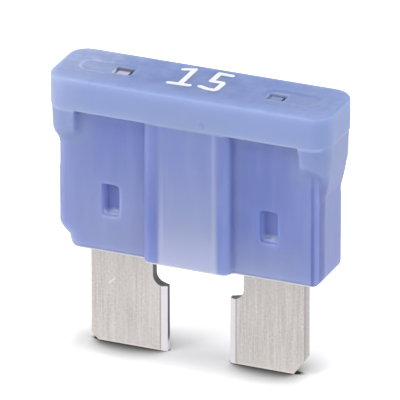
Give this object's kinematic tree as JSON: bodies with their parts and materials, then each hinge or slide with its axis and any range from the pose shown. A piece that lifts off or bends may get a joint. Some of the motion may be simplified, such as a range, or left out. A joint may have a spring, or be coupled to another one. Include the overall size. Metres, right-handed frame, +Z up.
{
  "type": "automotive blade fuse",
  "caption": "Flat plug-in fuse: a translucent light blue moulded housing with a wide head over one stamped tinned element whose flat blades point down.",
  "frame": {"origin": "midway between the two blades, at the level of their tips", "axes": "+X along the width of the head, +Y through its depth away from the front, +Z up from the blade tips to the top of the head"},
  "size_m": [0.019, 0.0052, 0.0188],
  "materials": {
    "housing_plastic": "translucent milky light blue moulding, satin",
    "tinned_metal": "matt tin plate, faint rolling streaks along the blades",
    "white_print": "flat white stamping foil"
  },
  "bodies": {
    "root": {"housing": "housing_plastic", "fuse_element": "tinned_metal", "rating_print": "white_print"}
  },
  "joints": []
}
